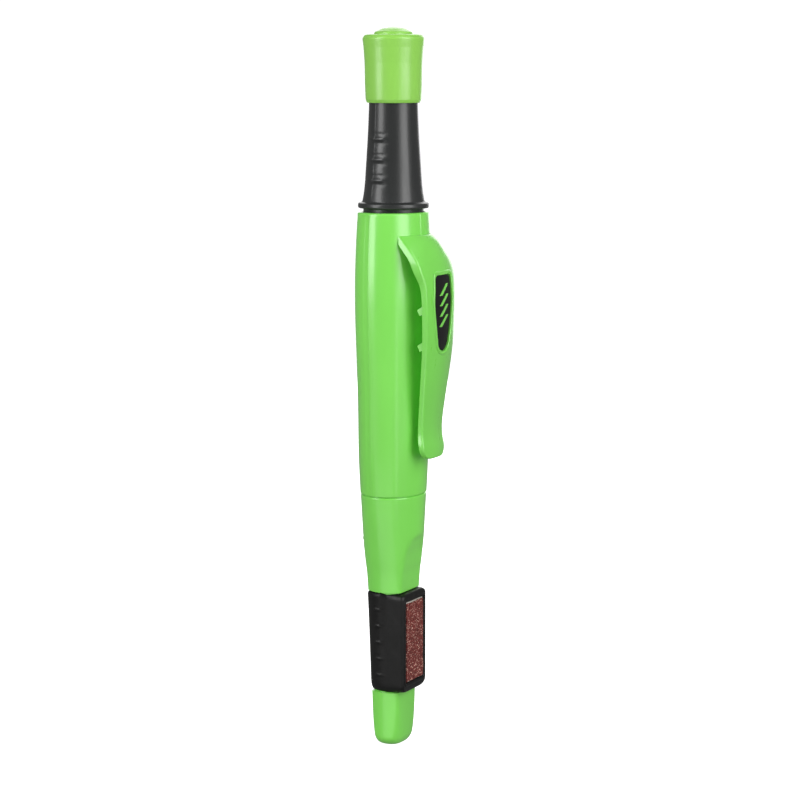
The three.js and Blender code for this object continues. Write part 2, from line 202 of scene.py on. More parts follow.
def shade_smooth(obj, sharp_degrees=38):
    shape = bmesh.new()
    shape.from_mesh(obj.data)
    for face in shape.faces:
        face.smooth = True
    for edge in shape.edges:
        edge.smooth = edge.calc_face_angle(math.pi) < math.radians(sharp_degrees)
    shape.to_mesh(obj.data)
    shape.free()


def piece(obj, body, slot, look, *stands_for, sharp_degrees=38):
    """Finishes a piece: its shading, material and body, and hides the CAD nodes that it stands for. The
    slot is not used.
    """
    shade_smooth(obj, sharp_degrees)
    obj.data.materials.clear()
    obj.data.materials.append(look)
    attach(obj, body)
    if stands_for:
        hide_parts(*stands_for)
    return obj


# Materials


class Look:
    """A node material: a Principled shader with textures read in the object's own metres."""

    def __init__(self, name, color, roughness, metallic=0.0, **uniform):
        self.material = bpy.data.materials.new(name)
        self.material.use_nodes = True
        self.nodes = self.material.node_tree.nodes
        self.links = self.material.node_tree.links
        self.shader = self.nodes["Principled BSDF"]
        self.place = self.nodes.new("ShaderNodeTexCoord").outputs["Object"]
        self.shader.inputs["Base Color"].default_value = (*color, 1)
        self.shader.inputs["Roughness"].default_value = roughness
        self.shader.inputs["Metallic"].default_value = metallic
        for socket, value in uniform.items():
            self.shader.inputs[socket.replace("_", " ").title().replace("Ior", "IOR")].default_value = value
        self.material.diffuse_color = (*color, 1)
        self.last_normal = None

    def stretched(self, scale):
        mapping = self.nodes.new("ShaderNodeMapping")
        mapping.inputs["Scale"].default_value = scale
        self.links.new(self.place, mapping.inputs["Vector"])
        return mapping.outputs["Vector"]

    def noise(self, scale, detail=3.0, stretch=(1, 1, 1)):
        node = self.nodes.new("ShaderNodeTexNoise")
        node.inputs["Scale"].default_value = scale
        node.inputs["Detail"].default_value = detail
        self.links.new(self.stretched(stretch), node.inputs["Vector"])
        return node.outputs["Fac"]

    def cells(self, scale, output="Distance"):
        node = self.nodes.new("ShaderNodeTexVoronoi")
        node.inputs["Scale"].default_value = scale
        self.links.new(self.place, node.inputs["Vector"])
        return node.outputs[output]

    def ramp(self, value, stops):
        """Colours or grey levels by value: stops are (position, colour)."""
        node = self.nodes.new("ShaderNodeValToRGB")
        elements = node.color_ramp.elements
        for index, (position, color) in enumerate(stops):
            element = elements[index] if index < 2 else elements.new(position)
            element.position = position
            element.color = (*color, 1) if isinstance(color, tuple) else (color, color, color, 1)
        self.links.new(value, node.inputs["Fac"])
        return node.outputs["Color"]

    def mix(self, factor, first, second):
        node = self.nodes.new("ShaderNodeMix")
        node.data_type = "RGBA"
        self.links.new(factor, node.inputs["Factor"])
        self.links.new(first, node.inputs["A"])
        self.links.new(second, node.inputs["B"])
        return node.outputs["Result"]

    def color(self, source):
        self.links.new(source, self.shader.inputs["Base Color"])
        return self

    def rough(self, value, low, high):
        node = self.nodes.new("ShaderNodeMapRange")
        node.inputs["From Min"].default_value = 0.3
        node.inputs["From Max"].default_value = 0.7
        node.inputs["To Min"].default_value = low
        node.inputs["To Max"].default_value = high
        self.links.new(value, node.inputs["Value"])
        self.links.new(node.outputs["Result"], self.shader.inputs["Roughness"])
        return self

    def bump(self, value, distance_mm, strength=1.0):
        node = self.nodes.new("ShaderNodeBump")
        node.inputs["Strength"].default_value = strength
        node.inputs["Distance"].default_value = distance_mm * MM
        self.links.new(value, node.inputs["Height"])
        if self.last_normal:
            self.links.new(self.last_normal, node.inputs["Normal"])
        self.last_normal = node.outputs["Normal"]
        self.links.new(self.last_normal, self.shader.inputs["Normal"])
        return self


def tint(color, factor):
    return tuple(min(channel * factor, 1) for channel in color)


def moulded(name, color, roughness, spread=0.06, grain_mm=0.012, **uniform):
    """Moulded plastic: faint flow marks, a fine spark-eroded grain and hairline scuffs along the axis."""
    look = Look(name, color, roughness, **uniform)
    flow = look.noise(55, 4, (1, 1, 0.35))
    look.color(look.ramp(flow, [(0.35, tint(color, 1 - spread)), (0.65, tint(color, 1 + spread))]))
    scuffs = look.noise(900, 5, (1, 1, 0.12))
    look.rough(scuffs, roughness - 0.03, roughness + 0.04)
    look.bump(look.noise(2600, 2), grain_mm, 0.35)
    look.bump(scuffs, 0.002, 0.2)
    return look.material


def rubber(name, color, roughness):
    """Moulded elastomer: a matt, slightly blotchy skin with dust in its grain."""
    look = Look(name, color, roughness, specular_ior_level=0.32)
    blotches = look.noise(240, 6)
    look.color(look.ramp(blotches, [(0.3, tint(color, 0.75)), (0.6, color), (0.78, tint(color, 1.9))]))
    look.rough(look.noise(700, 4), roughness - 0.08, roughness + 0.1)
    look.bump(look.noise(1900, 4), 0.03, 0.5)
    return look.material


def grit(name, dark, middle, light):
    """Abrasive grains bonded in resin: each grain has its own tone, and the palest grains are painted
    glints.
    """
    look = Look(name, middle, 0.8)
    grains = look.cells(4300, "Color")
    # The light stop paints the palest grains as painted glints.
    tones_and_painted_glints = look.ramp(grains, [(0.2, dark), (0.45, middle), (0.76, middle), (0.84, light)])
    patches = look.ramp(look.noise(180, 4), [(0.3, dark), (0.7, middle)])
    look.color(look.mix(look.ramp(look.noise(420, 3), [(0.35, 0.0), (0.65, 0.4)]), tones_and_painted_glints, patches))
    look.rough(look.noise(3000, 2), 0.5, 0.95)
    look.bump(look.cells(3000), 0.04, 0.6)
    return look.material


def paper(name, color):
    look = Look(name, color, 0.9)
    fibres = look.noise(1500, 6, (1, 1, 0.4))
    look.color(look.ramp(fibres, [(0.3, tint(color, 0.7)), (0.6, color)]))
    look.bump(fibres, 0.05, 0.7)
    return look.material


def graphite(name, color):
    """Pressed graphite: dull grey with a metallic sheen drawn out along its length."""
    look = Look(name, color, 0.42, metallic=0.35)
    streaks = look.noise(1600, 5, (1, 1, 0.05))
    look.color(look.ramp(streaks, [(0.3, tint(color, 0.6)), (0.7, tint(color, 1.5))]))
    look.rough(streaks, 0.3, 0.55)
    look.bump(streaks, 0.02, 0.5)
    return look.material


def metal(name, color, roughness, turned_marks=0.05):
    """Turned metal: fine rings round the axis and a little tarnish."""
    look = Look(name, color, roughness, metallic=1.0)
    tarnish = look.noise(300, 5)
    look.color(look.ramp(tarnish, [(0.3, tint(color, 0.75)), (0.65, color)]))
    look.rough(tarnish, roughness - 0.08, roughness + 0.12)
    look.bump(look.noise(300, 2, (0.2, 0.2, 22)), turned_marks, 0.4)
    return look.material


HOLSTER_GREEN = (0.217, 0.75, 0.096)
BUTTON_GREEN = (0.272, 0.63, 0.086)

holster_green = moulded("holster_green", HOLSTER_GREEN, 0.31, coat_weight=0.65, coat_roughness=0.18)
clip_green = moulded("clip_green", tint(HOLSTER_GREEN, 0.93), 0.3, coat_weight=0.8, coat_roughness=0.14)
button_green = moulded("button_green", BUTTON_GREEN, 0.38, coat_weight=0.42, coat_roughness=0.22)
barrel_grey = moulded(
    "barrel_grey", (0.0175, 0.019, 0.0187), 0.36, spread=0.15, coat_weight=0.2, coat_roughness=0.16
)
nose_grey = moulded("nose_grey", (0.017, 0.018, 0.019), 0.34, spread=0.15)
badge_black = moulded("badge_black", (0.006, 0.005, 0.006), 0.4, spread=0.2, specular_ior_level=0.3)
inner_white = moulded("inner_white", (0.66, 0.66, 0.62), 0.45)
black_elastomer = rubber("black_elastomer", (0.005, 0.005, 0.0048), 0.4)
brake_rubber = rubber("brake_rubber", (0.02, 0.02, 0.02), 0.6)
abrasive_grit = grit("abrasive_grit", (0.04, 0.006, 0.005), (0.19, 0.028, 0.022), (0.85, 0.5, 0.4))
backing_paper = paper("backing_paper", (0.66, 0.62, 0.55))
lead_graphite = graphite("graphite", (0.05, 0.052, 0.055))
clutch_brass = metal("clutch_brass", (0.62, 0.43, 0.16), 0.28)
spring_steel = metal("spring_steel", (0.6, 0.6, 0.6), 0.25, turned_marks=0.02)
tip_steel = metal("tip_steel", (0.55, 0.56, 0.57), 0.3)


# Holster shells

shell_radius = along([(7.55, 58), (8, 68), (8.2, 82), (8.72, 98), (8.8, 108), (8.5, 117), (8.11, RIM)])

MOULD_LINE = 96.4
KEY_EDGE = 11.5
EVEN = np.linspace(-180, 180, 240, endpoint=False)
FINE = np.linspace(-2.4, 2.4, 17)
CREASES = [side * angle + FINE for side in (-1, 1) for angle in (MOULD_LINE, KEY_EDGE)]
SHELL_ANGLES = np.unique(np.round(np.concatenate([EVEN, *CREASES]), 3))


def holster_ring(size, z, oval=1, flat=None, inset=0, relief=0, angles=SHELL_ANGLES, softness=10):
    """A level ring of the holster's section: an oval with a flat on +X and on -X where flat is given."""
    turn = np.radians(angles)
    thin, wide = 1 - (1 - OVAL_THIN) * oval, 1 + (OVAL_WIDE - 1) * oval
    radius = size / np.hypot(np.cos(turn) / thin, np.sin(turn) / wide)
    if flat is not None:
        plane = flat / np.maximum(np.abs(np.cos(turn)), 0.01)
        radius = (radius**-softness + plane**-softness) ** (-1 / softness)
    radius = radius - inset + relief
    return np.stack([radius * np.cos(turn), radius * np.sin(turn), np.full_like(turn, z)], axis=1)


def round_ring(radius, z):
    return holster_ring(radius, z, oval=0)


def shell_relief(z):
    """The upper shell's surface detail: a mould line down each side, and the key above the clip's root."""
    around = np.abs(SHELL_ANGLES)
    line = 0.09 * np.exp(-(((around - MOULD_LINE) / 0.65) ** 2))
    behind = -0.08 * bump_between(around, MOULD_LINE, MOULD_LINE + 7, 1.2)
    key = 0.1 * (1 - smoothstep(around, KEY_EDGE - 0.7, KEY_EDGE + 0.7)) * smoothstep(z, 114, 117)
    return (line + behind) * (1 - smoothstep(z, RIM - 0.8, RIM - 0.2)) + key


def rounding(radius, steps=6):
    """(setback from the edge, inset) pairs of a quarter round, from the side to the end."""
    turn = np.linspace(0, np.pi / 2, steps)
    return [(radius * (1 - math.sin(a)), radius * (1 - math.cos(a))) for a in turn]


def upper_shell():
    def outside(z, inset=0):
        return holster_ring(shell_radius(z), z, inset=inset, relief=shell_relief(z))

    def socket(z, inset=0):
        return holster_ring(SPIGOT_RADIUS, z, inset=inset - 0.15)

    bottom = [outside(UPPER_BOTTOM + back, inset) for back, inset in reversed(rounding(0.2))]
    top = [outside(RIM - back, inset) for back, inset in rounding(0.4)]
    return solid("holster_upper", [
        socket(UPPER_BOTTOM, -0.12),
        *bottom,
        *[outside(z) for z in np.linspace(UPPER_BOTTOM + 0.6, RIM - 0.8, 96)],
        *top,
        round_ring(BORE_RADIUS + 0.2, RIM),
        round_ring(BORE_RADIUS + 0.05, RIM - 0.06),
        round_ring(BORE_RADIUS, RIM - 0.25),
        *[round_ring(BORE_RADIUS, z) for z in np.linspace(RIM - 2, 76, 12)],
        round_ring(6.5, SPIGOT_TOP + 0.3),
        socket(SPIGOT_TOP + 0.3),
        socket(UPPER_BOTTOM + 0.15),
    ], looped=True)


OVAL_BEGINS_AND_ENDS = (36.4, 56.1)
BACK_RIBS = (38.4, 49)
BACK_RIB_PITCH = 1.75
lower_round = along([(5.15, 0), (5.5, 12), (6.32, 37), (6.8, 44.5), (7.1, 50.5), (7.6, 60)])
lower_flat = along([(3.45, 0), (3.62, 12.5), (4.4, 37), (5, 43), (5.75, 47), (7.4, 50.2), (14, 56)])


def lower_ring(z, inset=0, angles=SHELL_ANGLES, narrowing=0):
    """A level ring of the lower shell: inset draws in all of it, narrowing only its round sides."""
    oval = smoothstep(z, *OVAL_BEGINS_AND_ENDS)
    softness = 4 + 14 * smoothstep(z, 0, 10) + 10 * smoothstep(z, 30, 40)
    ribs = 0.09 * np.cos(2 * np.pi * (z - 38) / BACK_RIB_PITCH) * bump_between(z, *BACK_RIBS, 0.8)
    relief = ribs * smoothstep(np.abs((angles + 180) % 360 - 180), 136, 145)
    return holster_ring(
        lower_round(z) - narrowing, z, oval=oval, flat=lower_flat(z), inset=inset, relief=relief,
        angles=angles, softness=softness,
    )


def lower_shell():
    foot = [
        lower_ring(back, 0.45 * inset, narrowing=0.6 * inset)
        for back, inset in reversed(rounding(FOOT_FILLET, 12))
    ]
    shoulder = [lower_ring(PARTING - back, inset) for back, inset in rounding(0.34)]
    below, above = SLEEVE_BOTTOM - 0.2, SLEEVE_TOP + 0.2
    cavity = [(6.15, SPIGOT_TOP), (6.05, 58), (5.75, 52), (5.05, 48), (4.4, 44.3), (3.8, 41), (3, 36.2),
              (2.85, 26), (2.2, 14), (2.1, 3.2)]
    return solid("holster_lower", [
        *foot,
        *[lower_ring(z) for z in np.linspace(FOOT_FILLET + 0.5, below, 12)],
        lower_ring(below, UNDER_SLEEVE),
        lower_ring(above, UNDER_SLEEVE),
        *[lower_ring(z) for z in np.linspace(above, PARTING - 0.6, 90)],
        *shoulder,
        lower_ring(PARTING + 0.12, inset=0.36),
        holster_ring(SPIGOT_RADIUS, PARTING + 0.12),
        holster_ring(SPIGOT_RADIUS, SPIGOT_TOP - 0.3),
        holster_ring(SPIGOT_RADIUS, SPIGOT_TOP, inset=0.3),
        *[round_ring(radius, z) for radius, z in cavity],
    ])


# Grip sleeve with its abrasive plate

SLEEVE_WALL = 0.8
PLATE_HALF_WIDTH = 5.8
STRIP_HALF_WIDTH = 4.15
STRIP_RECESS = 0.6
PLATE_CORNER = 1.5
RIB_HEIGHTS = np.linspace(17, 32.5, 5)


def sleeve_ring(z, wall=SLEEVE_WALL, inset=0):
    """A ring of the sleeve: it hugs the holster behind and runs to the round-cornered plate in front."""
    angles = np.linspace(92, 268, 89)
    back = lower_ring(z, UNDER_SLEEVE - wall + inset, angles)
    ribs = sum(np.exp(-(((z - rib) / 0.28) ** 2)) for rib in RIB_HEIGHTS)
    reach = bump_between(np.abs(angles - 180), 76, 86, 6)
    back[:, :2] *= (1 + 0.022 * ribs * reach)[:, None]
    face, side = PLATE_FACE - inset, PLATE_HALF_WIDTH - inset
    into = max(PLATE_CORNER - (z - SLEEVE_BOTTOM), PLATE_CORNER - (SLEEVE_TOP - z), 0)
    plate = side - PLATE_CORNER + math.sqrt(max(PLATE_CORNER**2 - into**2, 0))
    front = rounded([
        (*back[-1, :2], 0),
        (1.2, -side, 2.0),
        (face - 0.55, -plate, 0.5),
        (face, 0.55 - plate, 0.3),
        (face, plate - 0.55, 0.3),
        (face - 0.55, plate, 0.5),
        (1.2, side, 2.0),
        (*back[0, :2], 0),
    ], runs=3, closed=False)
    front = np.column_stack([front, np.full(len(front), z)])
    return np.vstack([back, front[1:-1]])


def grip_sleeve():
    soft_bottom = [
        sleeve_ring(SLEEVE_BOTTOM + 2.4 * back, SLEEVE_WALL, 0.88 * inset)
        for back, inset in reversed(rounding(0.9, 8))
    ]
    soft_top = [sleeve_ring(SLEEVE_TOP - 1.4 * back, SLEEVE_WALL, inset) for back, inset in rounding(0.6)]
    levels = np.linspace(SLEEVE_BOTTOM + 2.3, SLEEVE_TOP - 1, 110)
    sleeve = solid("sleeve", [*soft_bottom, *[sleeve_ring(z) for z in levels], *soft_top])
    core = [lower_ring(z, UNDER_SLEEVE - 0.1) for z in (SLEEVE_BOTTOM - 1, SLEEVE_TOP + 1)]
    combine(sleeve, solid("sleeve_core", core), "DIFFERENCE")
    floor, mouth = PLATE_FACE - STRIP_RECESS, PLATE_FACE + 0.3
    recess = [
        strip_outline(x, 0.15 + spread)
        for x, spread in ((floor, 0), (PLATE_FACE - 0.25, 0), (mouth, 0.5))
    ]
    return combine(sleeve, solid("strip_recess", recess), "DIFFERENCE")


def strip_outline(x, spread, corner=0.35):
    """The strip's rectangle at a depth, grown by spread, with rounded corners."""
    half, low, high = STRIP_HALF_WIDTH + spread, STRIP_BOTTOM - spread - 0.1, STRIP_TOP + spread + 0.1
    corners = [(half, low), (half, high), (-half, high), (-half, low)]
    outline = rounded([(y, z, corner) for y, z in corners], runs=8)
    return np.column_stack([np.full(len(outline), x), outline])


def sheet(name, x_low, x_high, half, low, high, step, roughness, ragged):
    """A thin rectangular sheet facing +X with a rough face and ragged edges."""
    across = np.linspace(-half, half, int(2 * half / step) + 1)
    up = np.linspace(low, high, int((high - low) / step) + 1)
    face = x_high - roughness * random.random((len(up), len(across)))
    wander = [ragged * smooth_noise(count) for count in (len(up), len(up), len(across), len(across))]
    rings = []
    for row, z in enumerate(up):
        left, right = -half + wander[0][row], half - wander[1][row]
        y = left + (right - left) * (across + half) / (2 * half)
        share = (z - low) / (high - low)
        level = z + wander[2] * (1 - share) - wander[3] * share
        front = np.column_stack([face[row], y, level])
        behind = np.column_stack([np.full(len(y), x_low), y, level])
        rings.append(np.vstack([front, behind[::-1]]))
    return solid(name, rings)


def smooth_noise(count):
    """Seeded noise from 0 to 1 that wanders along an edge."""
    raw = random.random(count + 8)
    return np.convolve(raw, np.hanning(9) / np.hanning(9).sum(), "valid")[:count]


# Pocket clip

clip_face = along([
    (11.1, CLIP_BOTTOM), (11.1, 70), (10.65, 76), (12.7, 92), (13.2, 100.5), (13.1, 108), (12.4, 112),
    (11.4, 115), (10.2, 117.3), (8.9, CLIP_TOP),
])
clip_half_width = along([
    (3.3, CLIP_BOTTOM), (5, 70), (4.85, 76.5), (6.3, 92), (6.95, 103), (7.2, 107.5), (7.9, 110.5),
    (8.1, 113), (7.9, 116.5), (7.3, CLIP_TOP),
])
clip_crown = along([
    (24, CLIP_BOTTOM), (24, 104), (24, 108), (22, 112), (14.5, 115), (10.5, 117.3), (9.2, CLIP_TOP),
])

TOE = CLIP_BOTTOM + 0.5
TOE_RADIUS = 2.8
TOOTH_HEIGHTS = (102.1, 94)


def clip_outer(y, z):
    crown = clip_crown(z)
    return clip_face(z) - crown + np.sqrt(crown**2 - y**2)


def clip_inner(y, z, drop=CLIP_THICKNESS):
    thin = OVAL_THIN * shell_radius(z) + CLIP_BODY_GAP
    wide = OVAL_WIDE * shell_radius(z) + CLIP_BODY_GAP
    shell = thin * np.sqrt(np.maximum(1 - (y / wide) ** 2, 0))
    strap = clip_outer(y, z) - drop
    return (strap + shell + np.hypot(strap - shell, CLIP_BLEND)) / 2


def clip_half(z):
    """Half the strap's width, with the toe's corners rounded."""
    rise = np.clip((z - TOE) / TOE_RADIUS, 0, 1)
    corner = TOE_RADIUS * (1 - math.sqrt(1 - (1 - rise) ** 2))
    return clip_half_width(max(z, TOE + TOE_RADIUS)) - corner


def clip_thickness(z):
    return CLIP_THICKNESS + (ROOT_THICKNESS - CLIP_THICKNESS) * smoothstep(z, 105, 112)


def strap_ring(z, half, lift, drop, inset=0, soft=0.35):
    """A level slice of something that follows the strap: lift above its face, drop below it."""
    thickness = lift + drop
    width, low, high = half - inset, inset, thickness - inset
    outline = rounded([
        (-width, high, soft * 0.6), (-width, low, soft), (width, low, soft), (width, high, soft * 0.6),
    ], arc=5, runs=12)
    y, depth = outline[:, 0], outline[:, 1]
    outer = clip_outer(y, z) + lift
    inner = np.minimum(clip_inner(y, z, drop), outer - 0.3 * thickness)
    x = outer - depth / thickness * (outer - inner)
    return np.column_stack([x, y, np.full(len(y), z)])


def pocket_clip():
    levels = np.concatenate([
        np.linspace(TOE + 0.35, TOE + TOE_RADIUS, 14),
        np.linspace(TOE + TOE_RADIUS + 0.5, CLIP_TOP - 0.5, 110),
    ])
    toe = [strap_ring(TOE + back, clip_half(TOE + back), 0, CLIP_THICKNESS, inset)
           for back, inset in reversed(rounding(0.35, 5))]
    root = [strap_ring(CLIP_TOP - back, clip_half(CLIP_TOP - back), 0, ROOT_THICKNESS, inset)
            for back, inset in rounding(0.22, 5)]
    strap = [strap_ring(z, clip_half(z), 0, clip_thickness(z)) for z in levels]
    clip = solid("clip_strap", [*toe, *strap[1:], *root])
    for z in TOOTH_HEIGHTS:
        combine(clip, clip_tooth(z), "UNION")
    recess = [strap_ring(z, badge_half(z, 0.15), 1, 0.75, soft=0.05) for z in badge_levels(0.15)]
    return combine(clip, solid("badge_recess", recess), "DIFFERENCE")


def clip_tooth(z):
    """A slanting tooth across the strap's underside, hooked towards the toe."""
    hook = rounded([(0.5, 1.3, 0), (-1.2, 0.2, 0.16), (-0.6, -1.1, 0.16), (0.5, -0.5, 0)])
    half = clip_half(z) - 0.1
    rings = []
    for y in np.linspace(-half, half, 13):
        surface = clip_inner(y, z)
        rings.append(np.column_stack([surface + hook[:, 0], np.full(len(hook), y), z + hook[:, 1]]))
    return solid("clip_tooth", rings)


BADGE_TOP = 109.8
BADGE_CORNER = 1.2
BADGE_TOE = 95.15
BADGE_TOE_RADIUS = 2.45
badge_side = along([
    (BADGE_TOE_RADIUS, BADGE_TOE), (2.95, 97), (3.9, 103), (3.75, 106.5), (3.5, BADGE_TOP + 0.5),
])


def badge_half(z, margin=0.0):
    """Half the badge's width: a round toe, bowed sides and slightly rounded top corners."""
    toe = BADGE_TOE_RADIUS + margin
    if z < BADGE_TOE:
        return math.sqrt(max(toe**2 - (BADGE_TOE - z) ** 2, 0.01))
    corner = BADGE_CORNER
    into = np.clip((z - (BADGE_TOP + margin - corner)) / corner, 0, 1)
    return badge_side(z) + margin - corner * (1 - math.sqrt(max(1 - into**2, 0)))


def badge_levels(margin=0.0):
    toe = BADGE_TOE_RADIUS + margin
    low = BADGE_TOE - toe * np.cos(np.linspace(0.12, np.pi / 2, 10))
    top = BADGE_TOP + margin - BADGE_CORNER * (1 - np.sin(np.linspace(0, np.pi / 2, 8)))
    return np.concatenate([low, np.linspace(BADGE_TOE + 0.6, top[0] - 0.3, 26), top])


def clip_badge():
    gap = -0.05
    plate = [strap_ring(z, badge_half(z, gap), -0.25, 0.7, soft=0.12) for z in badge_levels(gap)]
    return solid("badge_plate", plate)


def rim(name, outline, surface_x, half_width, height):
    """A low rounded rim that follows an outline of (y, z) points on a surface facing +X."""
    turn = np.linspace(0, 2 * np.pi, 12, endpoint=False)[:, None]
    rings = []
    for i, (y, z) in enumerate(outline):
        ahead = outline[(i + 1) % len(outline)] - outline[i - 1]
        ahead = ahead / np.linalg.norm(ahead)
        sideways = np.array([0, ahead[1], -ahead[0]])
        centre = np.array([surface_x(y, z), y, z])
        rings.append(centre + half_width * np.cos(turn) * sideways + height * np.sin(turn) * [1, 0, 0])
    return solid(name, rings, looped=True)


def badge_rim():
    right = [(badge_half(z, 0.6), z) for z in badge_levels(0.6)]
    outline = np.array(right + [(-y, z) for y, z in reversed(right)])
    return rim("badge_rim", outline, lambda y, z: clip_outer(y, z) - 0.04, 0.4, 0.27)


def strip_frame():
    outline = strip_outline(0, 0.65, corner=1.0)[:, 1:]
    return rim("strip_frame", outline, lambda y, z: PLATE_FACE - 0.06, 0.36, 0.2)


FIRST_BAR = 98.2
BAR_PITCH = 2.35
BAR_RISE = 2.6
BAR_REACH = 3.0


def badge_bar(number):
    """One of the plain slanting bars raised on the badge."""
    low = FIRST_BAR + BAR_PITCH * number
    rings = []
    for z in np.linspace(low, low + BAR_RISE, 9):
        centre = BAR_REACH * ((z - low) / BAR_RISE - 0.5)
        ring = strap_ring(z, 0.52, -0.08, 0.45, soft=0.1)
        ring[:, 1] += centre
        ring[:, 0] += clip_outer(ring[:, 1], z) - clip_outer(ring[:, 1] - centre, z)
        rings.append(ring)
    return solid(f"badge_bar_{number + 1}", rings)


# Pen

BARREL_LINE = 107.7
GRIP_ANGLES = np.unique(np.round(np.concatenate([
    EVEN, *[side * BARREL_LINE + np.linspace(-2, 2, 15) for side in (-1, 1)],
]), 3))


def grip_relief(z):
    """The barrel's mould lines, and three finger beads a side, each with a faint dip above and below."""
    around = np.abs(GRIP_ANGLES)
    pad = smoothstep(around, 70, 86) * (1 - smoothstep(around, 118, 150))
    bead = sum(0.27 * math.exp(-(((z - ridge) / 0.42) ** 2)) for ridge in RIDGE_HEIGHTS)
    dips = sum(0.1 * math.exp(-(((abs(z - ridge) - 1.05) / 0.45) ** 2)) for ridge in RIDGE_HEIGHTS)
    line = 0.035 * np.exp(-(((around - BARREL_LINE) / 0.6) ** 2))
    return (bead - dips) * pad + line


def barrel():
    lip = FLANGE_BOTTOM
    profile = rounded([
        (5.25, BARREL_BOTTOM, 0),
        (6, BARREL_BOTTOM, 0.2),
        (6.35, 73, 4),
        (6.35, 115, 4),
        (NECK_RADIUS, 118.5, 3),
        (NECK_RADIUS, lip, 0.15),
        (FLANGE_RADIUS, lip, 0.45),
        (FLANGE_RADIUS - 0.05, lip + 1.2, 0.5),
        (7.1, lip + 1.35, 0.9),
        (6.78, 127.6, 2),
        (6.5, 130, 1),
    ], arc=8, closed=False)
    taper = along([
        (6.78, 127.6), (6.5, 130), (6.2, 134.5), (5.85, 140), (5.6, 145.5), (5.45, 150), (5.3, BARREL_TOP),
    ])
    grip = [(taper(z), z) for z in np.arange(128.2, 146, 0.14)]
    shoulder = [(taper(z), z) for z in np.linspace(146.2, BARREL_TOP - 0.3, 12)]
    flare = [(radius, z) for radius, z in profile if z < 128]
    inside = [
        (5.0, BARREL_TOP),
        (4.8, BARREL_TOP - 0.2),
        (4.8, 100),
        (4.8, NOSE_TOP + 0.3),
        (5.25, NOSE_TOP + 0.3),
    ]
    turn = np.radians(GRIP_ANGLES)
    rings = []
    for radius, z in [*flare, *grip, *shoulder, *inside]:
        outside = radius > 5.26 and z > 126.5
        reach = radius + (grip_relief(z) if outside else 0)
        rings.append(np.column_stack([reach * np.cos(turn), reach * np.sin(turn), np.full(len(turn), z)]))
    return solid("pen_barrel", rings, looped=True)


def push_button():
    shoulder = BUTTON_TOP - 1.7
    outer = rounded([
        (0, 152, 0),
        (2.6, 152, 0.3),
        (2.6, 161.8, 0.5),
        (5.78, 161.8, 0.5),
        (5.78, BUTTON_BOTTOM, 0.15),
        (6.0, BUTTON_BOTTOM, 0.2),
        (6.28, BUTTON_BOTTOM + 0.7, 0.6),
        (6.42, 152, 8),
        (6.5, 157, 8),
        (6.74, 160.4, 6),
        (6.98, shoulder - 0.85, 0.8),
        (6.42, shoulder - 0.05, 0.8),
        (5.35, shoulder + 0.02, 0.35),
        (4.95, shoulder - 0.28, 0.3),
        (4.55, shoulder - 0.22, 0.25),
        (4.2, shoulder + 0.55, 0.6),
        (2.6, shoulder + 1.3, 2.2),
        (0, BUTTON_TOP, 0),
    ], arc=7, runs=3, closed=False)
    return turned("button_cap", outer, sides=160)


def nose_section():
    """The pen's threaded nose: grip rings round a taper, and a plain bore for the clutch."""
    taper = along([(4, NOSE_BOTTOM), (4.65, 48), (5.35, 52), (5.7, 58), (5.95, 65.9)])
    grooves = (49.5, 51.5, 53.5, 55.5, 57.5)
    outside = []
    for z in np.arange(NOSE_BOTTOM + 0.3, 65.8, 0.12):
        groove = sum(0.16 * math.exp(-((z - middle) / 0.3) ** 2) for middle in grooves)
        outside.append((taper(z) - groove, z))
    profile = [
        (3.45, NOSE_BOTTOM + 0.15),
        (3.6, NOSE_BOTTOM),
        (3.8, NOSE_BOTTOM),
        *outside,
        (5.85, 66),
        (5.15, 66),
        *[(5.1 - 0.12 * (step % 2), 66.3 + 0.45 * step) for step in range(10)],
        (5.0, NOSE_TOP),
        (4.8, NOSE_TOP),
        (4.8, 52),
        (3.45, 52),
    ]
    return turned("pen_nose", profile, sides=128, looped=True)


def flat_lead():
    """A flat lead, with long edges slightly broken and its end worn to a chisel."""
    rings = []
    shank = np.linspace(LEAD_BOTTOM + 4, LEAD_TOP - 0.3, 20)
    for z in [LEAD_BOTTOM, LEAD_BOTTOM + 0.5, LEAD_BOTTOM + CHISEL_LENGTH, *shank, LEAD_TOP]:
        worn = np.clip((z - LEAD_BOTTOM) / CHISEL_LENGTH, 0, 1)
        thick, wide = 0.32 + 0.68 * worn, 2.5 - 0.25 * (1 - worn)
        corners = [(thick, wide, 0.18), (-thick, wide, 0.18), (-thick, -wide, 0.18), (thick, -wide, 0.18)]
        outline = rounded(corners, arc=4, runs=4)
        rings.append(np.column_stack([outline, np.full(len(outline), z)]))
    return solid("lead", rings)


def return_spring():
    """The steel helix between the clutch sleeve and the collar, with its end coils pulled in flat."""
    wire, steps = 0.28, 48
    around = np.linspace(0, 2 * np.pi, 10, endpoint=False)[:, None]
    rings = []
    for step in range(SPRING_TURNS * steps + 1):
        share = step / (SPRING_TURNS * steps)
        turn = 2 * np.pi * SPRING_TURNS * share
        outwards = np.array([math.cos(turn), math.sin(turn), 0])
        flat_ends = share - 0.04 * math.sin(4 * np.pi * share)
        height = SPRING_BOTTOM + wire + flat_ends * (SPRING_TOP - SPRING_BOTTOM - 2 * wire)
        section = wire * (np.cos(around) * outwards + np.sin(around) * [0, 0, 1])
        rings.append(SPRING_RADIUS * outwards + [0, 0, height] + section)
    return solid("spring", rings)


# Stage


